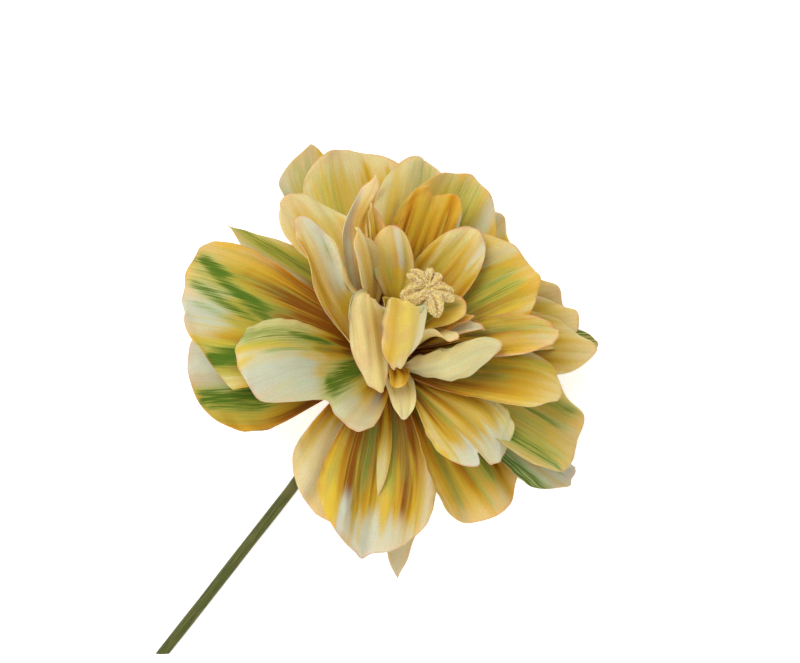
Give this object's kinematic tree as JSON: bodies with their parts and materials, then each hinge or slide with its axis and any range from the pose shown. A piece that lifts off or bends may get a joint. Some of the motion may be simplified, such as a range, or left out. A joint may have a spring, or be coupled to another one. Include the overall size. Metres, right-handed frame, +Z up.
{
  "type": "tulip",
  "caption": "Cut double tulip in full bloom: layered, ruffled petals round a pistil, on a short bent stem, lying flat.",
  "frame": {"origin": "middle of the flower's outline on the surface that it lies on", "axes": "+Z up from that surface, +Y away from the viewer, towards the top of the picture, +X to the right; the stem points to -X and -Y"},
  "size_m": [0.1468, 0.1706, 0.0817],
  "materials": {
    "petal": "soft, finely veined petal, amber at the foot and pale at the margin",
    "ovary": "smooth green flesh",
    "pollen": "matte and grainy with pollen",
    "stem": "smooth olive green with a faint bloom"
  },
  "bodies": {
    "root": {"petals": "petal", "pistil": "ovary", "stigma": "pollen", "stem": "stem"}
  },
  "joints": []
}
